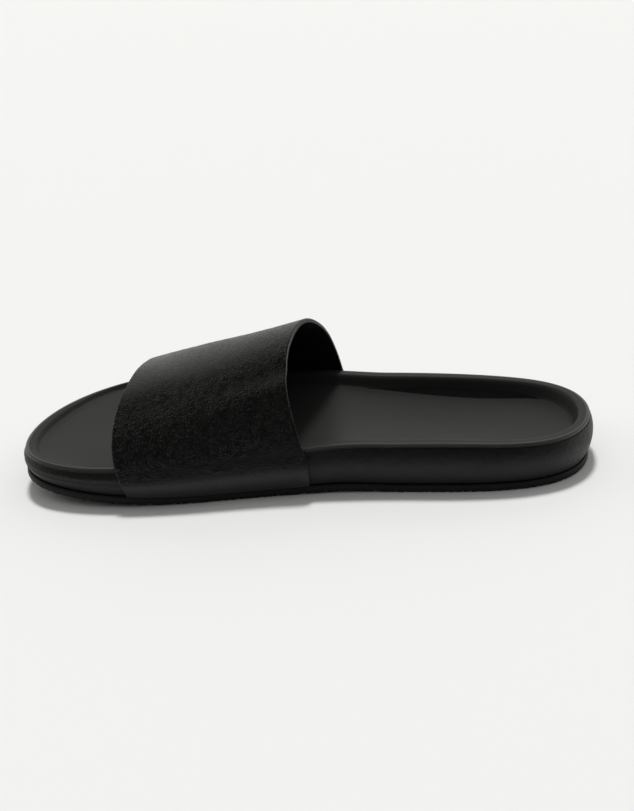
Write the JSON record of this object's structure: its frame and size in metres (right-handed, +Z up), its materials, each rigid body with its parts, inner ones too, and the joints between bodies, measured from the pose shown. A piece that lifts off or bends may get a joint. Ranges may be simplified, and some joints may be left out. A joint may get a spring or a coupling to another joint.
{
  "type": "slide sandal",
  "caption": "Plain slide sandal for the right foot: one wide leather strap over the instep on a contoured footbed with a raised rim and a crepe rubber sole.",
  "frame": {"origin": "on the floor under the middle of the shoe's box", "axes": "+Y towards the toe, +X towards the little-toe side, +Z up"},
  "size_m": [0.113, 0.2878, 0.0699],
  "materials": {
    "outsole_rubber": "matte dark grey crepe rubber, smooth at its side and crumbed underneath",
    "wrap_leather": "black pebble grained leather, satin",
    "insole_leather": "smooth dark grey leather, matte",
    "strap_leather": "black pebble grained leather, satin, with a smooth lining"
  },
  "bodies": {
    "root": {"outsole": "outsole_rubber", "midsole": "wrap_leather", "insole": "insole_leather", "strap": "strap_leather"}
  },
  "joints": []
}
